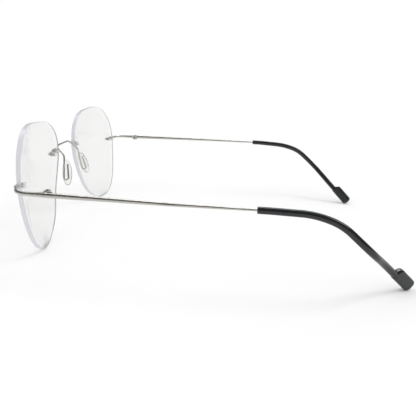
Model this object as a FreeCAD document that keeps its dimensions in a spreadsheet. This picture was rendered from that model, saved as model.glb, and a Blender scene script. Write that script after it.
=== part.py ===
"""Rimless eyeglasses with drilled lenses, wire temples and two vertical hinges.

Millimetres, +Z up, standing on a table with the temples open. X runs across the
face (+X is the wearer's left), +Y runs back along the temples. The origin is on
the table, midway between the lens fronts and the temple ends. The left half is
modelled and the right half is its mirror image in the plane x = 0.
"""
import FreeCAD, Part
import math
import os
import Sketcher

Vector = FreeCAD.Vector
Rotation = FreeCAD.Rotation
Placement = FreeCAD.Placement

X_AXIS = Vector(1, 0, 0)
Y_AXIS = Vector(0, 1, 0)
Z_AXIS = Vector(0, 0, 1)

# Driving dimensions: alias, value (mm or degrees), what it is.
# Every *_y position is measured back from the front plane of the lenses.
DIMENSIONS = [
    ("front_y", -71.95, "front plane of the lenses, from the origin"),
    ("lens_x", 38.4, "lens centre, across"),
    ("lens_y", 0.45, "lens centre, front surface"),
    ("lens_z", 25.0, "lens centre, height"),
    ("lens_wrap", 6.4, "outer side of the lens turned back"),
    ("lens_tilt", 5.2, "bottom of the lens tipped back"),
    ("lens_front_radius", 108.0, "curvature of the front surface"),
    ("lens_thickness", 1.9, "lens thickness"),
    ("lens_edge_bevel", 0.25, "safety bevel round both rims of the lens"),
    ("lens_blank_depth", 12.0, "blank that the outline is cut from, behind the lens centre"),
    ("lens_blank_lead", 1.0, "blank in front of the lens centre"),
    ("hole_radius", 0.8, "mounting holes in the lens, one of them open to the edge"),
    ("temple_mount_u", 22.9, "temple fastening from the lens centre, outward"),
    ("temple_mount_v", 3.2, "temple fastening above the lens centre"),
    ("temple_mount_pitch", 2.9, "between the two holes, temple fastening"),
    ("temple_mount_roll", -4.0, "turn of the temple fastening about the hole axis"),
    ("nose_mount_u", -24.3, "nose fastening from the lens centre, outward"),
    ("nose_mount_v", 7.3, "nose fastening above the lens centre"),
    ("nose_mount_pitch", 3.1, "between the two holes, nose fastening"),
    ("nose_mount_roll", 20.0, "turn of the nose fastening about the hole axis"),
    ("staple_bar_radius", 0.46, "bar of the staple on the lens front"),
    ("staple_prong_radius", 0.42, "prongs of the staple through the lens"),
    ("temple_staple_reach", 1.3, "temple staple bar beyond its outer hole"),
    ("nose_staple_reach", 1.8, "nose staple bar beyond its outer hole"),
    ("staple_lift", 0.04, "staple bar clear of the front surface"),
    ("temple_plug_thickness", 1.25, "clear plug behind the lens at the temple"),
    ("nose_plug_thickness", 0.9, "clear plug behind the lens at the nose"),
    ("plug_cap_radius", 0.92, "half height of the clear plug"),
    ("plug_cap_seat", 0.05, "plug cap clear of the curved back surface"),
    ("plug_prong_depth", 0.6, "prong length inside the plug cap"),
    ("bridge_wire_radius", 0.37, "bridge and pad arm wire"),
    ("bridge_arch_radius", 80.0, "bend at the top of the bridge"),
    ("bridge_shoulder_radius", 6.0, "bend at the side of the bridge"),
    ("bridge_hairpin_radius", 0.9, "bend where the bridge meets the staple"),
    ("pad_arm_radius", 3.5, "bend at the top of the pad arm"),
    ("pad_loop_radius", 0.85, "bends at the foot of the pad loop"),
    ("pad_x", 11.9, "nose pad centre, across"),
    ("pad_y", 6.1, "nose pad centre, back from the front plane"),
    ("pad_z", 23.5, "nose pad centre, height"),
    ("pad_splay", 22.5, "foot of the pad turned outward"),
    ("pad_rake", 10.0, "foot of the pad turned back"),
    ("pad_half_height", 5.75, "half height of the nose pad"),
    ("pad_half_width", 2.2, "half width of the nose pad, front to back"),
    ("pad_half_thickness", 1.4, "half thickness of the nose pad"),
    ("loop_forward", 0.45, "wire loop forward of the pad centre"),
    ("loop_half_width", 0.95, "wire loop in the pad, half its width"),
    ("loop_drop", 3.2, "wire loop foot below the pad centre"),
    ("loop_rise", 3.6, "wire loop end above the pad centre"),
    ("endpiece_x", 71.6, "endpiece run, across"),
    ("endpiece_y", 9.4, "endpiece bend, back from the front plane"),
    ("endpiece_z", 28.85, "endpiece bend, height"),
    ("endpiece_bend_radius", 6.0, "bend from the lens to the temple"),
    ("endpiece_lens_radius", 0.38, "endpiece wire at the lens"),
    ("endpiece_hinge_radius", 0.84, "endpiece wire at the hinge"),
    ("seam_x", 71.95, "joint between endpiece and temple, across"),
    ("seam_y", 18.9, "joint between endpiece and temple"),
    ("seam_z", 28.9, "joint between endpiece and temple, height"),
    ("seam_gap", 0.15, "gap between endpiece and temple when open"),
    ("hinge_x", 69.5, "hinge axis, across"),
    ("hinge_y", 19.5, "hinge axis, back from the front plane"),
    ("hinge_z", 28.9, "hinge centre, height"),
    ("barrel_radius", 0.9, "hinge barrel"),
    ("lug_height", 0.55, "each of the two endpiece lugs"),
    ("knuckle_height", 0.9, "temple knuckle between the lugs"),
    ("hinge_gap", 0.05, "play above and below the temple knuckle"),
    ("leaf_clearance", 0.3, "endpiece leaf clear of the turning knuckle"),
    ("neck_length", 1.3, "full height block forward of the hinge axis"),
    ("leaf_front_length", 2.6, "endpiece leaf forward of the hinge axis"),
    ("leaf_inset", 0.3, "endpiece leaf outward of the hinge axis"),
    ("leaf_back_length", 1.3, "temple leaf behind the hinge axis"),
    ("screw_radius", 0.42, "hinge screw shank"),
    ("lug_bore_radius", 0.44, "screw hole in the lugs"),
    ("knuckle_bore_radius", 0.47, "screw hole in the temple knuckle"),
    ("screw_head_radius", 0.72, "hinge screw head"),
    ("screw_head_height", 0.3, "hinge screw head"),
    ("slot_half_width", 0.11, "driver slot, half its width"),
    ("slot_half_length", 0.9, "driver slot, half its length"),
    ("screw_slot_depth", 0.16, "depth of the driver slot"),
    ("temple_hinge_radius", 0.88, "temple wire at the hinge"),
    ("temple_tip_radius", 0.36, "temple wire from the tip's mouth on"),
    ("temple_bow_radius", 200.0, "long easy bend half way along the temple"),
    ("tip_mouth_share", 0.875, "tip's mouth, as a share of the run from bow to first tip bend"),
    ("tip_front_radius", 1.18, "temple tip at its mouth"),
    ("tip_back_radius", 1.3, "temple tip at its paddle"),
    ("tip_core_stop", 11.4, "wire core ends short of the paddle's end"),
    ("tip_tube_stop", 9.0, "round part of the tip ends short of the paddle's end"),
    ("paddle_length", 11.0, "paddle at the end of the tip"),
    ("paddle_rise", 3.2, "paddle edge above the tip's axis"),
    ("paddle_drop", 1.45, "paddle edge below the tip's axis"),
    ("paddle_neck", 1.5, "start of the paddle's shoulder above the tip's axis"),
    ("paddle_shoulder", 1.2, "length of the paddle's sloping shoulder"),
    ("paddle_thickness", 2.5, "paddle thickness"),
    ("paddle_corner_radius", 1.5, "rounded corners of the paddle, on its raised side"),
    ("paddle_heel_radius", 2.0, "rounded corner of the paddle, on its low side"),
    ("paddle_edge_radius", 0.8, "rounded edges of the paddle"),
]

# Lens outline seen from the front surface: outward and upward from the lens centre.
LENS_OUTLINE = [
    (24.7, 0.0), (24.4, 6.5), (21.9, 12.7), (17.5, 17.5), (12.0, 20.8), (6.0, 22.3),
    (0.0, 22.5), (-6.0, 22.2), (-12.5, 21.7), (-19.6, 19.6), (-25.2, 14.5), (-27.0, 7.2),
    (-25.2, 0.0), (-22.1, -5.9), (-19.2, -11.1), (-16.1, -16.1), (-11.7, -20.3), (-6.2, -23.2),
    (0.0, -25.0), (6.8, -25.3), (13.4, -23.2), (18.6, -18.6), (21.8, -12.6), (23.7, -6.3),
]

# Corners of the bridge wire's left half: across, back from the front plane, height.
BRIDGE_CORNERS = [(0.0, 0.7, 34.7), (7.0, 0.4, 34.4), (8.9, 1.0, 33.5), (9.5, 4.1, 30.6)]

# Corners of the left temple behind the hinge, in the same terms, and the tip's bends.
TEMPLE_BOW = (74.4, 60.0, 29.2)
TIP_CORNERS = [
    (74.75, 92.0, 29.4), (73.9, 106.0, 28.9), (74.5, 114.8, 26.3),
    (74.6, 125.0, 17.7), (67.0, 131.2, 11.8), (58.8, 143.1, 0.4),
]
TIP_BEND_RADII = [60.0, 31.0, 20.0, 14.0, 38.0]
PADDLE_EDGE = Vector(-0.25, 0.70, 0.71)  # towards the paddle's raised edge

document = FreeCAD.newDocument("eyeglasses")
sheet = document.addObject("Spreadsheet::Sheet", "Dims")
for row, (alias, value, note) in enumerate(DIMENSIONS, start=1):
    sheet.set("A%d" % row, alias)
    sheet.set("B%d" % row, str(value))
    sheet.set("C%d" % row, note)
    sheet.setAlias("B%d" % row, alias)
document.recompute()


def dim(alias):
    """Value of one driving dimension."""
    return float(sheet.get(alias))


def bind(obj, **expressions):
    """Tie properties of an object to expressions on the driving dimensions."""
    for name, expression in expressions.items():
        obj.setExpression(name.replace("__", "."), expression)
    return obj


def sheet_value(text):
    """Number that an expression of the form Dims.alias, or -Dims.alias, stands for."""
    sign = -1.0 if text.startswith("-") else 1.0
    name = text.lstrip("-")
    return sign * (dim(name[len("Dims."):]) if name.startswith("Dims.") else float(name))


def place(x, y, z):
    """A point given across, back from the front plane, and up."""
    return Vector(x, dim("front_y") + y, z)


# ---------------------------------------------------------------- primitives

def cylinder(name, radius, height, placement):
    """Cylinder along the placement's Z; radius and height are expressions."""
    obj = document.addObject("Part::Cylinder", name)
    obj.Placement = placement
    return bind(obj, Radius=radius, Height=height)


def sphere(name, radius, placement):
    """Sphere about the placement's origin; radius is an expression."""
    obj = document.addObject("Part::Sphere", name)
    obj.Placement = placement
    return bind(obj, Radius=radius)


def box(name, length, width, height, placement):
    """Box from the placement's origin; the three sides are expressions."""
    obj = document.addObject("Part::Box", name)
    obj.Placement = placement
    return bind(obj, Length=length, Width=width, Height=height)


def fuse(name, parts):
    """Join several solids into one piece."""
    obj = document.addObject("Part::MultiFuse", name)
    obj.Shapes = parts
    obj.Refine = True
    return obj


def cut(name, base, tool):
    """Take the tool's solid out of the base."""
    obj = document.addObject("Part::Cut", name)
    obj.Base = base
    obj.Tool = tool
    return obj


def common(name, first, second):
    """Keep what two solids share."""
    obj = document.addObject("Part::Common", name)
    obj.Base = first
    obj.Tool = second
    return obj


# ------------------------------------------------------------ wires and bends

def bent_route(points, radii):
    """Edges of a route: straight runs joined by arcs tangent to both of them."""
    edges = []
    start = points[0]
    for before, corner, after, radius in zip(points, points[1:], points[2:], radii):
        back = (before - corner).normalize()
        ahead = (after - corner).normalize()
        half_turn = (math.pi - back.getAngle(ahead)) / 2
        setback = radius * math.tan(half_turn)
        middle = (back + ahead).normalize()
        arc_start = corner + back * setback
        arc_end = corner + ahead * setback
        arc_middle = corner + middle * (radius / math.cos(half_turn) - radius)
        edges.append(Part.LineSegment(start, arc_start).toShape())
        edges.append(Part.Arc(arc_start, arc_middle, arc_end).toShape())
        start = arc_end
    edges.append(Part.LineSegment(start, points[-1]).toShape())
    return edges


def section(name, radius, point, direction):
    """Round section across a wire at one of its ends; radius is an expression."""
    obj = document.addObject("Part::Circle", name)
    obj.Placement = Placement(point, Rotation(Z_AXIS, direction))
    return bind(obj, Radius=radius)


def wire_solid(name, points, bend_radii, start_radius, end_radius=None):
    """Round wire along a bent route, tapering when it has a second radius."""
    edges = bent_route(points, bend_radii)
    spine = document.addObject("Part::Feature", name + "_spine")
    spine.Shape = Part.Wire(edges)
    sections = [section(name + "_start", start_radius, points[0], points[1] - points[0])]
    if end_radius:
        sections.append(section(name + "_end", end_radius, points[-1], points[-1] - points[-2]))
    sweep = document.addObject("Part::Sweep", name)
    sweep.Sections = sections
    sweep.Spine = (spine, ["Edge%d" % number for number in range(1, len(edges) + 1)])
    sweep.Solid = True
    sweep.Frenet = False
    return sweep


# ---------------------------------------------------------------------- lens

LENS_PLACEMENT = Placement(
    place(dim("lens_x"), dim("lens_y"), dim("lens_z")),
    Rotation(X_AXIS, dim("lens_tilt")).multiply(Rotation(Z_AXIS, dim("lens_wrap"))),
)


def fastening_frame(u_alias, v_alias, roll_alias):
    """Frame of a fastening: X outward along the lens, Y through it from the front."""
    u = dim(u_alias)
    v = dim(v_alias)
    radius = dim("lens_front_radius")
    sag = radius - math.sqrt(radius ** 2 - u ** 2 - v ** 2)
    point = Vector(u, sag, v)
    through = (Vector(0, radius, 0) - point).normalize()
    outward = X_AXIS * math.copysign(1.0, u)
    across = (outward - through * outward.dot(through)).normalize()
    axes = Rotation(across, through, Vector(0, 0, 0), "YXZ")
    axes = axes.multiply(Rotation(Y_AXIS, dim(roll_alias)))
    return LENS_PLACEMENT.multiply(Placement(point, axes))


TEMPLE_FASTENING = fastening_frame("temple_mount_u", "temple_mount_v", "temple_mount_roll")
NOSE_FASTENING = fastening_frame("nose_mount_u", "nose_mount_v", "nose_mount_roll")
FASTENINGS = [
    ("temple", TEMPLE_FASTENING, "temple_mount_pitch"),
    ("nose", NOSE_FASTENING, "nose_mount_pitch"),
]
THROUGH_LENS = Rotation(Z_AXIS, Y_AXIS)
ALONG_LENS = Rotation(Z_AXIS, X_AXIS)


def in_frame(frame, x, y, z, rotation=Rotation()):
    """Placement at a local point of a fastening frame."""
    return frame.multiply(Placement(Vector(x, y, z), rotation))


def hole_pair(name, frame, pitch_alias, radius, start, length):
    """Two cylinders through the lens, one in each hole of a fastening."""
    half_pitch = dim(pitch_alias) / 2
    return [
        cylinder("%s_%s" % (name, end), radius, length,
                 in_frame(frame, offset, start, 0, THROUGH_LENS))
        for end, offset in (("inner", -half_pitch), ("outer", half_pitch))
    ]


def bevel_rims(body):
    """Narrow bevel along the front and back rims, which are a lens's two longest edges."""
    document.recompute()
    numbers = range(1, len(body.Shape.Edges) + 1)
    rims = sorted(numbers, key=lambda number: body.Shape.Edges[number - 1].Length)[-2:]
    size = dim("lens_edge_bevel")
    bevelled = document.addObject("Part::Chamfer", "lens_bevelled")
    bevelled.Base = body
    bevelled.Edges = [(number, size, size) for number in rims]
    return bevelled


def make_lens():
    """Curved lens with bevelled rims, and a hole and a hole or edge notch at each end."""
    knots = [Vector(u, 0, v) for u, v in LENS_OUTLINE]
    curve = Part.BSplineCurve()
    curve.interpolate(Points=knots, PeriodicFlag=True)
    outline = document.addObject("Part::Feature", "lens_outline")
    outline.Shape = Part.Wire([curve.toShape()])
    outline.Placement = LENS_PLACEMENT
    blank = document.addObject("Part::Extrusion", "lens_blank")
    blank.Base = outline
    blank.DirMode = "Custom"
    blank.Dir = LENS_PLACEMENT.Rotation.multVec(Y_AXIS)
    blank.Solid = True
    bind(blank, LengthFwd="Dims.lens_blank_depth", LengthRev="Dims.lens_blank_lead")
    centre = LENS_PLACEMENT.multiply(Placement(Vector(0, dim("lens_front_radius"), 0), Rotation()))
    front = sphere("lens_front_surface", "Dims.lens_front_radius", centre)
    back = sphere("lens_back_surface", "Dims.lens_front_radius - Dims.lens_thickness", centre)
    shell = cut("lens_shell", front, back)
    body = bevel_rims(common("lens_body", blank, shell))
    drills = []
    for name, frame, pitch_alias in FASTENINGS:
        drills += hole_pair(name + "_drill", frame, pitch_alias, "Dims.hole_radius",
                            -dim("lens_thickness"), "3 * Dims.lens_thickness")
    drilled = cut("lens_left", body, fuse("lens_drills", drills))
    drilled.Refine = False
    return drilled


# ------------------------------------------------------------------ fastenings

BAR_Y = -dim("staple_bar_radius") - dim("staple_lift")


def bar_point(frame, outward):
    """Point on a staple bar's axis."""
    return in_frame(frame, outward, BAR_Y, 0).Base


def make_staple(name, frame, place_name):
    """Wire staple: a bar across the lens front and two prongs through the lens."""
    pitch_alias = place_name + "_mount_pitch"
    reach = "Dims.%s_staple_reach" % place_name
    half_pitch = dim(pitch_alias) / 2
    prong_length = "Dims.staple_bar_radius + Dims.staple_lift + Dims.lens_thickness + Dims.plug_prong_depth"
    prongs = hole_pair(name + "_prong", frame, pitch_alias, "Dims.staple_prong_radius",
                       BAR_Y, prong_length)
    bar = cylinder(name + "_bar", "Dims.staple_bar_radius", "Dims.%s + %s" % (pitch_alias, reach),
                   in_frame(frame, -half_pitch, BAR_Y, 0, ALONG_LENS))
    bend = sphere(name + "_bend", "Dims.staple_bar_radius", in_frame(frame, -half_pitch, BAR_Y, 0))
    return fuse(name, prongs + [bar, bend])


def make_nose_staple():
    """Staple whose bar runs past the lens edge and turns back to the bridge's hairpin."""
    staple = make_staple("nose_staple", NOSE_FASTENING, "nose")
    turn = bar_point(NOSE_FASTENING, dim("nose_mount_pitch") / 2 + dim("nose_staple_reach"))
    run = place(*BRIDGE_CORNERS[2]) - turn
    bend = sphere("nose_staple_turn", "Dims.staple_bar_radius", Placement(turn, Rotation()))
    tail = cylinder("nose_staple_tail", "Dims.staple_bar_radius", str(run.Length),
                    Placement(turn, Rotation(Z_AXIS, run)))
    return fuse("nose_staple_solid", [staple, bend, tail])


def make_plug(name, frame, place_name, prongs):
    """Clear twin plug: a bush round each prong and a rounded cap behind the lens."""
    pitch_alias = place_name + "_mount_pitch"
    thickness = "Dims.%s_plug_thickness" % place_name
    half_pitch = dim(pitch_alias) / 2
    cap_y = dim("lens_thickness") + dim("plug_cap_seat")
    cap_radius = dim("plug_cap_radius")
    bushes = hole_pair(name + "_bush", frame, pitch_alias, "Dims.hole_radius",
                       0, "Dims.lens_thickness + Dims.plug_cap_seat")
    ends = hole_pair(name + "_end", frame, pitch_alias, "Dims.plug_cap_radius",
                     cap_y, thickness)
    web = box(name + "_web", "Dims." + pitch_alias, thickness,
              "2 * Dims.plug_cap_radius", in_frame(frame, -half_pitch, cap_y, -cap_radius))
    return cut(name, fuse(name + "_solid", bushes + ends + [web]), prongs)


# ---------------------------------------------------------- bridge and nose pads

PAD_PLACEMENT = Placement(
    place(dim("pad_x"), dim("pad_y"), dim("pad_z")),
    Rotation(Y_AXIS, -dim("pad_splay")).multiply(Rotation(X_AXIS, dim("pad_rake"))),
)


def make_bridge():
    """One bent wire: pad loop, pad arm, hairpin, arch, and the same again."""
    half_width = dim("loop_half_width")
    loop = [(-half_width, -dim("loop_drop")), (half_width, -dim("loop_drop")),
            (half_width, dim("loop_rise"))]
    left = [place(*corner) for corner in BRIDGE_CORNERS]
    left += [PAD_PLACEMENT.multVec(Vector(0, back - dim("loop_forward"), up)) for back, up in loop]
    right = [Vector(-point.x, point.y, point.z) for point in left[:0:-1]]
    half_radii = [dim("bridge_shoulder_radius"), dim("bridge_hairpin_radius"),
                  dim("pad_arm_radius"), dim("pad_loop_radius"), dim("pad_loop_radius")]
    radii = half_radii[::-1] + [dim("bridge_arch_radius")] + half_radii
    return wire_solid("bridge_wire", right + left, radii, "Dims.bridge_wire_radius")


def make_nose_pad(bridge):
    """Soft oval pad moulded round the wire loop."""
    oval = document.addObject("Part::Ellipsoid", "nose_pad_oval")
    oval.Angle1 = -90
    oval.Placement = PAD_PLACEMENT
    bind(oval, Radius1="Dims.pad_half_height", Radius2="Dims.pad_half_thickness",
         Radius3="Dims.pad_half_width")
    return cut("nose_pad_left", oval, bridge)


# ------------------------------------------------------------ endpiece and hinge

SEAM = place(dim("seam_x"), dim("seam_y"), dim("seam_z"))
TEMPLE_START = SEAM + Vector(0, dim("seam_gap"), 0)
HINGE_Y_EXPRESSION = "Dims.front_y + Dims.hinge_y"


def make_endpiece(staple):
    """Wire from the temple staple round the corner to the hinge, thicker at the hinge."""
    start = bar_point(TEMPLE_FASTENING, dim("temple_mount_pitch") / 2)
    corner = place(dim("endpiece_x"), dim("endpiece_y"), dim("endpiece_z"))
    wire = wire_solid("endpiece_round", [start, corner, SEAM], [dim("endpiece_bend_radius")],
                      "Dims.endpiece_lens_radius", "Dims.endpiece_hinge_radius")
    return cut("endpiece_wire_left", wire, staple)


def hinge_cylinder(name, radius, bottom, height):
    """Cylinder on the hinge axis; bottom is measured from the hinge centre."""
    obj = document.addObject("Part::Cylinder", name)
    return bind(obj, Radius=radius, Height=height, Placement__Base__x="Dims.hinge_x",
                Placement__Base__y=HINGE_Y_EXPRESSION,
                Placement__Base__z="Dims.hinge_z + (%s)" % bottom)


def hinge_box(name, inner, outer, front, back, half_height):
    """Block beside the hinge axis; its sides are measured from the axis."""
    obj = document.addObject("Part::Box", name)
    return bind(obj, Length="(%s) - (%s)" % (outer, inner), Width="(%s) - (%s)" % (back, front),
                Height="2 * (%s)" % half_height,
                Placement__Base__x="Dims.hinge_x + (%s)" % inner,
                Placement__Base__y=HINGE_Y_EXPRESSION + " + (%s)" % front,
                Placement__Base__z="Dims.hinge_z - (%s)" % half_height)


STACK_HALF = "Dims.knuckle_height / 2 + Dims.hinge_gap + Dims.lug_height"
SLOT_HALF = "Dims.knuckle_height / 2 + Dims.hinge_gap"
WIRE_SIDE = "Dims.seam_x - Dims.hinge_x"


def make_hinge_lugs(endpiece):
    """Leaf brazed to the endpiece, with an upper and a lower lug for the screw."""
    barrel = hinge_cylinder("lug_barrel", "Dims.barrel_radius", "-(%s)" % STACK_HALF,
                            "2 * (%s)" % STACK_HALF)
    neck = hinge_box("lug_neck", "-Dims.barrel_radius", "Dims.barrel_radius",
                     "-Dims.neck_length", "0", STACK_HALF)
    leaf = hinge_box("lug_leaf", "Dims.leaf_inset", WIRE_SIDE, "-Dims.leaf_front_length",
                     "Dims.seam_y - Dims.hinge_y - Dims.seam_gap", SLOT_HALF)
    solid = fuse("lug_solid", [barrel, neck, leaf])
    room = hinge_cylinder("knuckle_room", "Dims.barrel_radius + Dims.leaf_clearance",
                          "-(%s)" % SLOT_HALF, "2 * (%s)" % SLOT_HALF)
    bore = hinge_cylinder("lug_bore", "Dims.lug_bore_radius", "-(%s)" % STACK_HALF,
                          "2 * (%s)" % STACK_HALF)
    voids = fuse("lug_voids", [room, bore])
    return cut("hinge_lugs_left", cut("lug_block", solid, voids), endpiece)


def make_hinge_knuckle(temple):
    """Single knuckle between the lugs, on a leaf brazed to the temple wire."""
    barrel = hinge_cylinder("knuckle_barrel", "Dims.barrel_radius", "-Dims.knuckle_height / 2",
                            "Dims.knuckle_height")
    leaf = hinge_box("knuckle_leaf", "-Dims.barrel_radius / 2", WIRE_SIDE, "0",
                     "Dims.leaf_back_length", "Dims.knuckle_height / 2")
    bore = hinge_cylinder("knuckle_bore", "Dims.knuckle_bore_radius",
                          "-Dims.knuckle_height / 2", "Dims.knuckle_height")
    solid = fuse("knuckle_solid", [barrel, leaf])
    return cut("hinge_knuckle_left", cut("knuckle_block", solid, bore), temple)


# ------------------------------------------------- screw and paddle, as bodies

ORIGIN_POINT = (-1, 1)  # how a sketch constraint names the sketch's own origin
RIM_TOLERANCE = 0.01


def body_sketch(body, name, offset="0"):
    """Empty sketch on the body's XY plane, raised by an expression."""
    plane = [item for item in body.Origin.OriginFeatures if item.Role == "XY_Plane"][0]
    sketch = body.newObject("Sketcher::SketchObject", name)
    sketch.AttachmentSupport = (plane, [""])
    sketch.MapMode = "FlatFace"
    return bind(sketch, AttachmentOffset__Base__z=offset)


def sketch_circle(sketch, radius):
    """Circle about the sketch's origin; radius is an expression."""
    index = sketch.addGeometry(Part.Circle(Vector(0, 0, 0), Z_AXIS, 1.0), False)
    sketch.addConstraint(Sketcher.Constraint("Coincident", index, 3, *ORIGIN_POINT))
    size = sketch.addConstraint(Sketcher.Constraint("Radius", index, 1.0))
    sketch.setExpression("Constraints[%d]" % size, radius)


def sketch_polygon(sketch, corners):
    """Closed outline whose corners are pairs of expressions from the sketch's origin."""
    values = [Vector(*[sheet_value(text) for text in corner], 0) for corner in corners]
    first = sketch.GeometryCount
    count = len(corners)
    for number in range(count):
        line = Part.LineSegment(values[number], values[(number + 1) % count])
        sketch.addGeometry(line, False)
    for number in range(count):
        following = first + (number + 1) % count
        sketch.addConstraint(Sketcher.Constraint("Coincident", first + number, 2, following, 1))
    for number, corner in enumerate(corners):
        for kind, text in zip(("DistanceX", "DistanceY"), corner):
            value = sheet_value(text)
            limit = Sketcher.Constraint(kind, *ORIGIN_POINT, first + number, 1, value)
            index = sketch.addConstraint(limit)
            sketch.setExpression("Constraints[%d]" % index, text)


def pad(body, name, sketch, length, midplane=False):
    """Pad of a sketch; length is an expression."""
    feature = body.newObject("PartDesign::Pad", name)
    feature.Profile = sketch
    feature.Midplane = midplane
    return bind(feature, Length=length)


def make_hinge_screw():
    """Plain hinge screw with a slotted head, dropped in from above."""
    body = document.addObject("PartDesign::Body", "hinge_screw_left")
    shank = body_sketch(body, "shank_sketch")
    sketch_circle(shank, "Dims.screw_radius")
    pad(body, "shank", shank, "2 * (%s)" % STACK_HALF)
    head = body_sketch(body, "head_sketch", "2 * (%s)" % STACK_HALF)
    sketch_circle(head, "Dims.screw_head_radius")
    pad(body, "head", head, "Dims.screw_head_height")
    slot = body_sketch(body, "slot_sketch", "2 * (%s) + Dims.screw_head_height" % STACK_HALF)
    sketch_polygon(slot, [("-Dims.slot_half_length", "-Dims.slot_half_width"),
                          ("Dims.slot_half_length", "-Dims.slot_half_width"),
                          ("Dims.slot_half_length", "Dims.slot_half_width"),
                          ("-Dims.slot_half_length", "Dims.slot_half_width")])
    pocket = body.newObject("PartDesign::Pocket", "slot")
    pocket.Profile = slot
    bind(pocket, Length="Dims.screw_slot_depth")
    return bind(body, Placement__Base__x="Dims.hinge_x", Placement__Base__y=HINGE_Y_EXPRESSION,
                Placement__Base__z="Dims.hinge_z - (%s)" % STACK_HALF)


def round_edges(body, name, base, chosen, radius):
    """Fillet the chosen edges of a body's last feature; radius is an expression."""
    document.recompute()
    fillet = body.newObject("PartDesign::Fillet", name)
    names = ["Edge%d" % number for number, edge in enumerate(base.Shape.Edges, start=1)
             if chosen(edge)]
    fillet.Base = (base, names)
    return bind(fillet, Radius=radius)


def make_paddle(end, along):
    """Flat paddle at the end of the tip, in the plane of the tip and the raised edge."""
    body = document.addObject("PartDesign::Body", "paddle")
    outline = body_sketch(body, "paddle_sketch")
    corners = [("0", "-Dims.paddle_drop"), ("Dims.paddle_length", "-Dims.paddle_drop"),
               ("Dims.paddle_length", "Dims.paddle_rise"),
               ("Dims.paddle_shoulder", "Dims.paddle_rise"), ("0", "Dims.paddle_neck")]
    sketch_polygon(outline, corners)
    plate = pad(body, "paddle_plate", outline, "Dims.paddle_thickness", midplane=True)
    half = dim("paddle_thickness") / 2

    def is_upright(edge):
        start, finish = [vertex.Point for vertex in edge.Vertexes]
        return abs(start.z - finish.z) > half and start.x > dim("paddle_shoulder") / 2

    def is_raised_corner(edge):
        return is_upright(edge) and edge.Vertexes[0].Point.y > 0

    def is_heel(edge):
        return is_upright(edge) and edge.Vertexes[0].Point.y < 0

    def is_rim(edge):
        return all(abs(abs(vertex.Point.z) - half) < RIM_TOLERANCE for vertex in edge.Vertexes)

    raised = round_edges(body, "paddle_corners", plate, is_raised_corner,
                         "Dims.paddle_corner_radius")
    heeled = round_edges(body, "paddle_heel", raised, is_heel, "Dims.paddle_heel_radius")
    round_edges(body, "paddle_rim", heeled, is_rim, "Dims.paddle_edge_radius")
    sideways = (PADDLE_EDGE - along * PADDLE_EDGE.dot(along)).normalize()
    body.Placement = Placement(end - along * dim("paddle_length"),
                               Rotation(along, sideways, Vector(0, 0, 0), "XYZ"))
    return body


# -------------------------------------------------------------- temple and tip

def make_temple():
    """Tapered temple wire whose thin end is the core of the tip, and the soft tip."""
    bow = place(*TEMPLE_BOW)
    corners = [place(*corner) for corner in TIP_CORNERS]
    mouth = bow + (corners[0] - bow) * dim("tip_mouth_share")
    end = corners[-1]
    along = (end - corners[-2]).normalize()
    taper = wire_solid("temple_taper", [TEMPLE_START, bow, mouth], [dim("temple_bow_radius")],
                       "Dims.temple_hinge_radius", "Dims.temple_tip_radius")
    core_route = [mouth] + corners[:-1] + [end - along * dim("tip_core_stop")]
    core = wire_solid("temple_core", core_route, TIP_BEND_RADII, "Dims.temple_tip_radius")
    temple = fuse("temple_wire_left", [taper, core])
    tube_route = [mouth] + corners[:-1] + [end - along * dim("tip_tube_stop")]
    tube = wire_solid("tip_tube", tube_route, TIP_BEND_RADII,
                      "Dims.tip_front_radius", "Dims.tip_back_radius")
    tip = fuse("tip_solid", [tube, make_paddle(end, along)])
    return temple, cut("temple_tip_left", tip, core)


# ------------------------------------------------------------------- assembly

bridge = make_bridge()
nose_staple = make_nose_staple()
temple_staple = make_staple("temple_staple_left", TEMPLE_FASTENING, "temple")
endpiece = make_endpiece(temple_staple)
temple_wire, temple_tip = make_temple()
left_pieces = [
    make_lens(),
    make_nose_pad(bridge),
    cut("bridge_staple_left", nose_staple, bridge),
    make_plug("bridge_plug_left", NOSE_FASTENING, "nose", nose_staple),
    temple_staple,
    make_plug("temple_plug_left", TEMPLE_FASTENING, "temple", temple_staple),
    endpiece,
    make_hinge_lugs(endpiece),
    make_hinge_screw(),
    make_hinge_knuckle(temple_wire),
    temple_wire,
    temple_tip,
]
document.recompute()

pieces = [bridge]
for piece in left_pieces:
    piece.Label = piece.Name
    mirrored = document.addObject("Part::Mirroring", piece.Name.replace("_left", "_right"))
    mirrored.Source = piece
    mirrored.Normal = X_AXIS
    mirrored.Label = mirrored.Name
    pieces += [piece, mirrored]
document.recompute()

failed = [obj.Name for obj in document.Objects
          if "Invalid" in obj.State or "Error" in obj.State]
for piece in pieces:
    shape = piece.Shape
    if shape.isNull() or not shape.isValid() or len(shape.Solids) != 1:
        failed.append(piece.Label)
if failed:
    raise RuntimeError("these objects did not build: " + ", ".join(failed))

os.makedirs("parts", exist_ok=True)
bounds = FreeCAD.BoundBox()
for piece in pieces:
    piece.Shape.exportStep("parts/%s.step" % piece.Label)
    bounds.add(piece.Shape.BoundBox)
    print("%-22s volume %8.2f mm3" % (piece.Label, piece.Shape.Volume))
print("across %.2f, deep %.2f from %.2f to %.2f, high %.2f from %.2f" % (
    bounds.XLength, bounds.YLength, bounds.YMin, bounds.YMax, bounds.ZLength, bounds.ZMin))
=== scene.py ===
import math

import bmesh
import bpy
import numpy
from mathutils import Matrix, Vector


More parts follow.
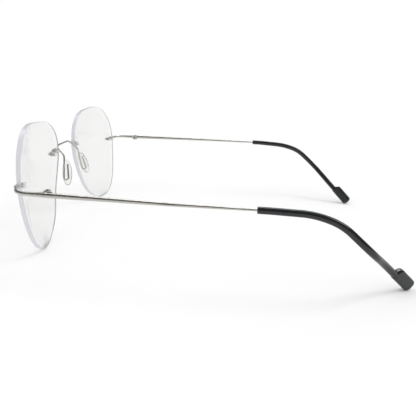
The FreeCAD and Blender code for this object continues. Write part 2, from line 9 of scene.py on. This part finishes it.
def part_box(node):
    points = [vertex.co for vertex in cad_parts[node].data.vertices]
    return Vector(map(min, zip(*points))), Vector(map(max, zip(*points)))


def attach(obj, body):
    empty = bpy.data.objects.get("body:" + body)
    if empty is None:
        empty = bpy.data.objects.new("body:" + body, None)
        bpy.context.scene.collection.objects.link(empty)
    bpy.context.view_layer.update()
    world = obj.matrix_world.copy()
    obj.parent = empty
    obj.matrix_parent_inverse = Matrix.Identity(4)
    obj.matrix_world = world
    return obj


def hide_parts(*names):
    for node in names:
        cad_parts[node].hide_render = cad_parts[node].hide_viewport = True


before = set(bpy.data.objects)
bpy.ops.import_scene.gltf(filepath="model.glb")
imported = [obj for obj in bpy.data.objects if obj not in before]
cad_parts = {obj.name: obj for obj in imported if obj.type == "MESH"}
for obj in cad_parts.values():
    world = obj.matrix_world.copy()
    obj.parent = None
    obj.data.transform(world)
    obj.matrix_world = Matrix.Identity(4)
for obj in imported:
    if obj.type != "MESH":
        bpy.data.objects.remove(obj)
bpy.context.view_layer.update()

# Rimless eyeglasses in a white studio. Every size is in metres, and every place comes
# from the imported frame. The wires and lenses are the frame's own nodes with better
# materials; the pads have a softer form, and the other pieces get rounded edges.

SIDES = ("left", "right")
FRONT = "front"
MM = 0.001


# ------------------------------------------------------------------ node trees

NOISE_RANGE = (0.25, 0.75)


def new_material(name):
    """Material with a plain Principled surface; returns it and its shader."""
    material = bpy.data.materials.new(name)
    material.use_nodes = True
    shader = material.node_tree.nodes["Principled BSDF"]
    return material, shader


def add_node(material, kind, **inputs):
    """Node of a kind, with plain values or another node's output on its inputs."""
    node = material.node_tree.nodes.new(kind)
    for name, value in inputs.items():
        connect(material, node, name.replace("__", " "), value)
    return node


def connect(material, node, name, value):
    """Set an input, or link it when the value is a socket; material may be a world too."""
    socket = node.inputs[name]
    if isinstance(value, bpy.types.NodeSocket):
        material.node_tree.links.new(value, socket)
    else:
        socket.default_value = value


def position(material, stretch):
    """Object position, stretched along each axis."""
    place = material.node_tree.nodes.new("ShaderNodeTexCoord").outputs["Object"]
    mapping = add_node(material, "ShaderNodeMapping", Vector=place, Scale=stretch)
    return mapping.outputs["Vector"]


def noise(material, stretch, scale, detail=4.0, roughness=0.55):
    """Noise over the object's own space; scale is in cells per metre."""
    node = add_node(material, "ShaderNodeTexNoise", Vector=position(material, stretch),
                    Scale=scale, Detail=detail, Roughness=roughness)
    return node.outputs["Fac"]


def mapped(material, value, low, high, start=0.0, stop=1.0):
    """Map a value from one range onto another."""
    node = add_node(material, "ShaderNodeMapRange", Value=value)
    node.inputs["From Min"].default_value = start
    node.inputs["From Max"].default_value = stop
    connect(material, node, "To Min", low)
    connect(material, node, "To Max", high)
    return node.outputs["Result"]


def spread(material, value, low, high):
    """Map a noise, which seldom leaves its middle half, onto a range."""
    return mapped(material, value, low, high, *NOISE_RANGE)


def worked_out(material, operation, first, second):
    """Result of one sum on two values."""
    node = material.node_tree.nodes.new("ShaderNodeMath")
    node.operation = operation
    connect(material, node, 0, first)
    connect(material, node, 1, second)
    return node.outputs[0]


def blend_colours(material, value, first, second):
    """Colour from the first to the second as the value goes from 0 to 1."""
    node = material.node_tree.nodes.new("ShaderNodeMix")
    node.data_type = "RGBA"
    connect(material, node, "Factor", value)
    node.inputs["A"].default_value = (*first, 1.0)
    node.inputs["B"].default_value = (*second, 1.0)
    return node.outputs["Result"]


def multiplied(material, first, second):
    """Product of two colours."""
    node = material.node_tree.nodes.new("ShaderNodeMix")
    node.data_type = "RGBA"
    node.blend_type = "MULTIPLY"
    node.inputs["Factor"].default_value = 1.0
    material.node_tree.links.new(first, node.inputs["A"])
    material.node_tree.links.new(second, node.inputs["B"])
    return node.outputs["Result"]


def bump(material, shader, height, distance, strength):
    """Fine relief on a shader; distance is the relief's depth."""
    node = add_node(material, "ShaderNodeBump", Height=height)
    node.inputs["Distance"].default_value = distance
    node.inputs["Strength"].default_value = strength
    material.node_tree.links.new(node.outputs["Normal"], shader.inputs["Normal"])


# ------------------------------------------------------------------- materials

ALONG_TEMPLE = (1.0, 0.04, 1.0)     # stretches a noise into lines from front to back
EVEN = (1.0, 1.0, 1.0)

# Noise scales, in cells per metre: from broad clouds to fine grain.
LENS_CLOUD = 90.0
METAL_CLOUD = 220.0
TIP_CLOUD = 260.0
PAD_CLOUD = 300.0
EDGE_LINES = 2600.0
PAD_GRAIN = 3500.0
TIP_GRAIN = 4200.0
METAL_MARKS = 9000.0
MACHINED_MARKS = 12000.0

WHITE = (1.0, 1.0, 1.0)
CLOUD_SHADE = (0.96, 0.96, 0.96)
LENS_IOR = 1.56
LENS_COLOUR = (0.48, 0.485, 0.46)
EDGE_VIOLET = (0.645, 0.645, 0.70)
# Painted shade: the lens edge as seen from within, a darker grey than its violet.
EDGE_PAINTED_SHADE = (0.36, 0.37, 0.35)
PLUG_COLOUR = (0.55, 0.56, 0.54)
SILICONE_IOR = 1.18
SILICONE_MILK = 0.12                    # share of the light that the pads scatter
LENS_EDGE_LIMIT = 0.8                   # edge faces have a normal with less than this along Y
GROUND_STRIP = (0.50 * MM, 0.65 * MM)   # from the back face: ground to here, clear from here
CLEAR_EDGE_SHARE = 0.05                 # what is left of the edge's cover in front of the strip


def metal(name, dark, light, rough, stretch, grain, bare=1.0):
    """Metal with hairline finish marks and faint tarnish; bare is how little it is coated."""
    material, shader = new_material(name)
    shader.inputs["Metallic"].default_value = bare
    marks = noise(material, stretch, grain, detail=6.0)
    cloud = noise(material, EVEN, METAL_CLOUD)
    connect(material, shader, "Base Color", blend_colours(material, cloud, dark, light))
    connect(material, shader, "Roughness", spread(material, marks, *rough))
    bump(material, shader, marks, distance=0.004 * MM, strength=0.35)
    return material


def see_through(name, colour, within_colour, covers, inside, lit, rough):
    """Skin of a clear piece, which bends no light.

    covers is how much it hides face on and edge on; inside is the share of that which is
    left for a view from within the piece, and lit the share that is left for light on its
    way through. inside may also be a function that returns a node's output.
    """
    material, shader = new_material(name)
    cloud = noise(material, EVEN, LENS_CLOUD)
    within = material.node_tree.nodes.new("ShaderNodeNewGeometry").outputs["Backfacing"]
    tint = blend_colours(material, within, colour, within_colour)
    shade = blend_colours(material, cloud, CLOUD_SHADE, WHITE)
    connect(material, shader, "Base Color", multiplied(material, tint, shade))
    connect(material, shader, "Roughness", spread(material, cloud, *rough))
    shader.inputs["IOR"].default_value = LENS_IOR
    fresnel = add_node(material, "ShaderNodeFresnel", IOR=LENS_IOR)
    alpha = mapped(material, fresnel.outputs[0], *covers)
    if callable(inside):
        inside = inside(material)
    alpha = worked_out(material, "MULTIPLY", alpha, mapped(material, within, 1.0, inside))
    path = material.node_tree.nodes.new("ShaderNodeLightPath").outputs
    light = worked_out(material, "MAXIMUM", path["Is Shadow Ray"], path["Is Diffuse Ray"])
    alpha = worked_out(material, "MULTIPLY", alpha, mapped(material, light, 1.0, lit))
    connect(material, shader, "Alpha", alpha)
    return material, shader


def lens_surface():
    """Coated lens face, almost colourless."""
    return see_through("lens_face", LENS_COLOUR, LENS_COLOUR, covers=(0.09, 0.73),
                       inside=0.12, lit=0.8, rough=(0.01, 0.04))[0]


def back_sphere(node):
    """Centre and radius of the sphere that a lens's back face lies on."""
    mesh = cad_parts[node].data
    used = {index for face in mesh.polygons if face.normal.y > LENS_EDGE_LIMIT
            for index in face.vertices}
    points = numpy.array([mesh.vertices[index].co for index in sorted(used)])
    # p.p = 2 p.centre + (radius squared - centre.centre), for every point p at once
    table = numpy.column_stack((2.0 * points, numpy.ones(len(points))))
    found = numpy.linalg.lstsq(table, (points ** 2).sum(axis=1), rcond=None)[0]
    centre = Vector(found[:3])
    return centre, math.sqrt(found[3] + centre.length_squared)


def lens_rim(side):
    """Edge of a lens: violet outside, and from within clear but for a strip at the back, painted
    a darker grey as shade.
    """
    centre, radius = back_sphere("lens_" + side)

    def clear_in_front(material):
        """All of the edge's cover along the strip at the back, and next to none before it."""
        place = material.node_tree.nodes.new("ShaderNodeTexCoord").outputs["Object"]
        reach = material.node_tree.nodes.new("ShaderNodeVectorMath")
        reach.operation = "DISTANCE"
        material.node_tree.links.new(place, reach.inputs[0])
        reach.inputs[1].default_value = centre
        depth = worked_out(material, "SUBTRACT", reach.outputs["Value"], radius)
        depth = worked_out(material, "ABSOLUTE", depth, 0.0)
        return mapped(material, depth, 1.0, CLEAR_EDGE_SHARE, *GROUND_STRIP)

    # From within, the edge is painted a darker grey as shade.
    material, shader = see_through("lens_edge_" + side, EDGE_VIOLET, EDGE_PAINTED_SHADE,
                                   covers=(0.82, 0.94), inside=clear_in_front, lit=0.9,
                                   rough=(0.18, 0.30))
    lines = noise(material, EVEN, EDGE_LINES, detail=3.0)
    bump(material, shader, lines, distance=0.01 * MM, strength=0.25)
    return material


def silicone():
    """Soft translucent pad, slightly milky."""
    material, shader = new_material("pad_silicone")
    cloud = noise(material, EVEN, PAD_CLOUD)
    grain = noise(material, EVEN, PAD_GRAIN)
    connect(material, shader, "Base Color",
            blend_colours(material, cloud, (0.93575, 0.940675, 0.9259), (0.95, 0.955, 0.94)))
    connect(material, shader, "Roughness", spread(material, cloud, 0.10, 0.18))
    shader.inputs["IOR"].default_value = SILICONE_IOR
    shader.inputs["Transmission Weight"].default_value = 1.0 - SILICONE_MILK
    bump(material, shader, grain, distance=0.01 * MM, strength=0.3)
    return material


def black_tip():
    """Black acetate tip with a satin polish."""
    material, shader = new_material("tip_black")
    cloud = noise(material, EVEN, TIP_CLOUD)
    grain = noise(material, EVEN, TIP_GRAIN, detail=3.0)
    connect(material, shader, "Base Color",
            blend_colours(material, cloud, (0.008, 0.009, 0.010), (0.014, 0.015, 0.017)))
    connect(material, shader, "Roughness", spread(material, cloud, 0.08, 0.13))
    bump(material, shader, grain, distance=0.012 * MM, strength=0.3)
    return material


WIRE = metal("titanium_wire", dark=(0.46, 0.446, 0.414), light=(0.55, 0.535, 0.503),
             rough=(0.20, 0.32), stretch=ALONG_TEMPLE, grain=METAL_MARKS)
HINGE = metal("titanium_hinge", dark=(0.46, 0.45, 0.43), light=(0.56, 0.55, 0.53),
              rough=(0.24, 0.36), stretch=EVEN, grain=MACHINED_MARKS)
SCREW = metal("screw_steel", dark=(0.60, 0.60, 0.60), light=(0.70, 0.70, 0.70),
              rough=(0.12, 0.22), stretch=EVEN, grain=METAL_MARKS)
STAPLE = metal("staple_wire", dark=(0.66, 0.66, 0.63), light=(0.74, 0.74, 0.71),
               rough=(0.42, 0.55), stretch=EVEN, grain=METAL_MARKS, bare=0.45)
LENS_FACE = lens_surface()
PLUG = see_through("clear_plug", PLUG_COLOUR, PLUG_COLOUR, covers=(0.22, 0.75), inside=0.3,
                   lit=0.8, rough=(0.05, 0.12))[0]
SILICONE = silicone()
TIP = black_tip()


# ---------------------------------------------------------------------- pieces

WELD_DISTANCE = 0.001 * MM
PAD_RINGS = 40
PAD_SEGMENTS = 64
PAD_RIM_PINCH = 0.25    # how much thinner the pad is at its rim


def finish_piece(piece, node, body, material):
    """Put a rebuilt piece in the place of a CAD node."""
    piece.data.materials.clear()
    piece.data.materials.append(material)
    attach(piece, body)
    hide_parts(node)


def new_object(name, mesh):
    """Object in the scene, all of it shaded smooth."""
    mesh.shade_smooth()
    piece = bpy.data.objects.new(name, mesh)
    bpy.context.scene.collection.objects.link(piece)
    return piece


def applied(piece):
    """Replace an object's mesh by what its modifiers make of it."""
    graph = bpy.context.evaluated_depsgraph_get()
    mesh = bpy.data.meshes.new_from_object(piece.evaluated_get(graph))
    piece.modifiers.clear()
    piece.data = mesh
    mesh.shade_smooth()
    return piece


def rounded_copy(name, node, voxel, rounds):
    """Copy of a CAD solid with its edges melted round, as moulding or tumbling leaves them."""
    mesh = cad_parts[node].data.copy()
    mesh.name = name
    piece = new_object(name, mesh)
    welded = bmesh.new()
    welded.from_mesh(mesh)
    bmesh.ops.remove_doubles(welded, verts=welded.verts, dist=WELD_DISTANCE)
    welded.to_mesh(mesh)
    welded.free()
    grid = piece.modifiers.new("grid", "REMESH")
    grid.mode = "VOXEL"
    grid.voxel_size = voxel
    soft = piece.modifiers.new("soft", "SMOOTH")
    soft.factor = 0.5
    soft.iterations = rounds
    return applied(piece)


# Rebuilt CAD nodes: name without its side, material slot, material, grid size, smoothing rounds.
ROUNDED = [
    ("hinge_lugs", "titanium_hinge", HINGE, 0.05 * MM, 3),
    ("hinge_screw", "screw_steel", SCREW, 0.03 * MM, 2),
    ("bridge_plug", "clear_plug", PLUG, 0.08 * MM, 4),
    ("temple_plug", "clear_plug", PLUG, 0.08 * MM, 4),
    ("bridge_staple", "titanium_wire", STAPLE, 0.06 * MM, 4),
    ("temple_staple", "titanium_wire", STAPLE, 0.06 * MM, 4),
]
TEMPLE_ROUNDED = [
    ("hinge_knuckle", "titanium_hinge", HINGE, 0.05 * MM, 3),
    ("temple_tip", "tip_black", TIP, 0.22 * MM, 5),
]


def make_rounded_pieces():
    """Hinges, fasteners and tips of both sides."""
    for side in SIDES:
        for body, rows in ((FRONT, ROUNDED), ("temple_" + side, TEMPLE_ROUNDED)):
            for base, slot, material, voxel, rounds in rows:
                node = "%s_%s" % (base, side)
                piece = rounded_copy(node + "_shape", node, voxel, rounds)
                finish_piece(piece, node, body, material)


def make_nose_pad(side):
    """Silicone pad: an oval cushion round the wire loop, thinner towards its rim."""
    node = "nose_pad_" + side
    centre = sum(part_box(node), Vector()) / 2
    offsets = [vertex.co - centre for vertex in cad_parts[node].data.vertices]
    long_axis = max(offsets, key=lambda offset: offset.length).normalized()
    side_axis = Vector((1.0, 0.0, 0.0))
    thin_axis = (side_axis - long_axis * side_axis.dot(long_axis)).normalized()
    wide_axis = long_axis.cross(thin_axis)
    turned = Matrix((thin_axis, wide_axis, long_axis)).transposed().to_4x4()
    extents = [max(abs(offset.dot(axis)) for offset in offsets)
               for axis in (thin_axis, wide_axis, long_axis)]
    shape = bmesh.new()
    bmesh.ops.create_uvsphere(shape, u_segments=PAD_SEGMENTS, v_segments=PAD_RINGS, radius=1.0)
    for vertex in shape.verts:
        thin, wide, tall = vertex.co
        pinch = 1.0 - PAD_RIM_PINCH * (wide ** 2 + tall ** 2) ** 2
        vertex.co = Vector((thin * pinch * extents[0], wide * extents[1], tall * extents[2]))
    shape.transform(Matrix.Translation(centre) @ turned)
    mesh = bpy.data.meshes.new(node + "_shape")
    shape.to_mesh(mesh)
    shape.free()
    finish_piece(new_object(node + "_shape", mesh), node, FRONT, SILICONE)


def paint_frame_nodes():
    """Better materials on the CAD nodes that are shown as they are."""
    for side in SIDES:
        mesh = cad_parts["lens_" + side].data
        mesh.materials.clear()
        mesh.materials.append(LENS_FACE)
        mesh.materials.append(lens_rim(side))
        for face in mesh.polygons:
            face.material_index = int(abs(face.normal.y) < LENS_EDGE_LIMIT)
    for name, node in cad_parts.items():
        if "_wire" in name:
            node.data.materials.clear()
            node.data.materials.append(WIRE)


# ----------------------------------------------------------------------- stage

FLOOR_HALF = 12.0
FLOOR_WHITE = 0.95

# Brightness of the surroundings: as the camera sees them, as they light the pieces, and as
# the pieces mirror them. A patch has a direction, and its outer and inner edge as angles.
WORLD_LEVEL = 1.02
FILL_LEVEL = 0.88
CEILING = (Vector((0.0, 0.0, 1.0)), math.radians(97), math.radians(74))
CEILING_LEVEL = 0.14
SOFTBOX = (Vector((-0.50, 0.0, 0.87)), math.radians(13), math.radians(8))
SOFTBOX_LEVEL = 6.0
SOFTBOX_SQUEEZE = (1.0, 0.35, 1.0)      # under 1 makes it longer that way

KEY_DIRECTION = Vector((0.25, -0.9, -1.1))
KEY_SPREAD = math.radians(26)
KEY_STRENGTH = 0.76

# The view of the photo, fitted to where it shows the lenses, the hinges and the tips.
CAMERA_PLACE = Vector((0.2320, 0.00997, 0.0727))
CAMERA_YAW = math.radians(-3.39)
CAMERA_PITCH = math.radians(15.49)
CAMERA_ROLL = math.radians(2.92)
SENSOR_WIDTH = 36.0                     # millimetres, as the focal length is
FOCAL_LENGTH = 45.1


def make_floor():
    """White studio floor that runs out to the horizon."""
    mesh = bpy.data.meshes.new("floor")
    corners = [(x, y, 0.0) for x, y in ((-1, -1), (1, -1), (1, 1), (-1, 1))]
    mesh.from_pydata([Vector(corner) * FLOOR_HALF for corner in corners], [], [(0, 1, 2, 3)])
    material, shader = new_material("floor_white")
    shader.inputs["Base Color"].default_value = (FLOOR_WHITE, FLOOR_WHITE, FLOOR_WHITE, 1.0)
    shader.inputs["Roughness"].default_value = 0.9
    shader.inputs["Specular IOR Level"].default_value = 0.1
    mesh.materials.append(material)
    floor = bpy.data.objects.new("floor", mesh)
    bpy.context.scene.collection.objects.link(floor)


def patch_mask(tree, direction, aim, outer, inner):
    """1 inside a round soft patch of the surroundings, 0 outside it."""
    facing = tree.nodes.new("ShaderNodeVectorMath")
    facing.operation = "DOT_PRODUCT"
    facing.inputs[1].default_value = aim.normalized()
    tree.links.new(direction, facing.inputs[0])
    mask = tree.nodes.new("ShaderNodeMapRange")
    mask.interpolation_type = "SMOOTHSTEP"
    mask.inputs["From Min"].default_value = math.cos(outer)
    mask.inputs["From Max"].default_value = math.cos(inner)
    tree.links.new(facing.outputs["Value"], mask.inputs["Value"])
    return mask.outputs["Result"]


def mixed_level(world, mask, outside, inside):
    """Brightness that goes from one value or output to another."""
    level = world.node_tree.nodes.new("ShaderNodeMix")
    connect(world, level, "Factor", mask)
    connect(world, level, "A", outside)
    connect(world, level, "B", inside)
    return level.outputs["Result"]


def make_world():
    """Even white surroundings, which the pieces mirror as a dim ceiling with a softbox."""
    world = bpy.data.worlds.new("studio")
    world.use_nodes = True
    bpy.context.scene.world = world
    tree = world.node_tree
    direction = tree.nodes.new("ShaderNodeTexCoord").outputs["Generated"]
    squeeze = tree.nodes.new("ShaderNodeVectorMath")
    squeeze.operation = "MULTIPLY"
    squeeze.inputs[1].default_value = SOFTBOX_SQUEEZE
    tree.links.new(direction, squeeze.inputs[0])
    flat = tree.nodes.new("ShaderNodeVectorMath")
    flat.operation = "NORMALIZE"
    tree.links.new(squeeze.outputs["Vector"], flat.inputs[0])
    ceiling = patch_mask(tree, direction, *CEILING)
    softbox = patch_mask(tree, flat.outputs["Vector"], *SOFTBOX)
    mirrored = mixed_level(world, ceiling, WORLD_LEVEL, CEILING_LEVEL)
    mirrored = mixed_level(world, softbox, mirrored, SOFTBOX_LEVEL)
    path = tree.nodes.new("ShaderNodeLightPath")
    level = mixed_level(world, path.outputs["Is Diffuse Ray"], WORLD_LEVEL, FILL_LEVEL)
    level = mixed_level(world, path.outputs["Is Glossy Ray"], level, mirrored)
    background = tree.nodes["Background"]
    background.inputs["Color"].default_value = (*WHITE, 1.0)
    tree.links.new(level, background.inputs["Strength"])


def make_key():
    """Broad soft light from above, behind the tips and a little to the wearer's right."""
    data = bpy.data.lights.new("key", "SUN")
    data.angle = KEY_SPREAD
    data.energy = KEY_STRENGTH
    light = bpy.data.objects.new("key", data)
    light.rotation_euler = KEY_DIRECTION.to_track_quat("-Z", "Y").to_euler()
    bpy.context.scene.collection.objects.link(light)


def make_camera():
    """Camera beside the left temple, a little above it."""
    data = bpy.data.cameras.new("camera")
    data.sensor_width = SENSOR_WIDTH
    data.lens = FOCAL_LENGTH
    data.clip_start = 0.01
    data.clip_end = 100.0
    camera = bpy.data.objects.new("camera", data)
    forward = Vector((-math.cos(CAMERA_YAW) * math.cos(CAMERA_PITCH),
                      math.sin(CAMERA_YAW) * math.cos(CAMERA_PITCH), -math.sin(CAMERA_PITCH)))
    turned = forward.to_track_quat("-Z", "Y").to_matrix().to_4x4()
    turned = turned @ Matrix.Rotation(CAMERA_ROLL, 4, "Z")
    camera.matrix_world = Matrix.Translation(CAMERA_PLACE) @ turned
    bpy.context.scene.collection.objects.link(camera)
    bpy.context.scene.camera = camera


# -------------------------------------------------------------------- assembly

make_camera()
make_floor()
make_world()
make_key()
paint_frame_nodes()
make_rounded_pieces()
for pad_side in SIDES:
    make_nose_pad(pad_side)
bpy.context.scene.view_settings.view_transform = "Standard"
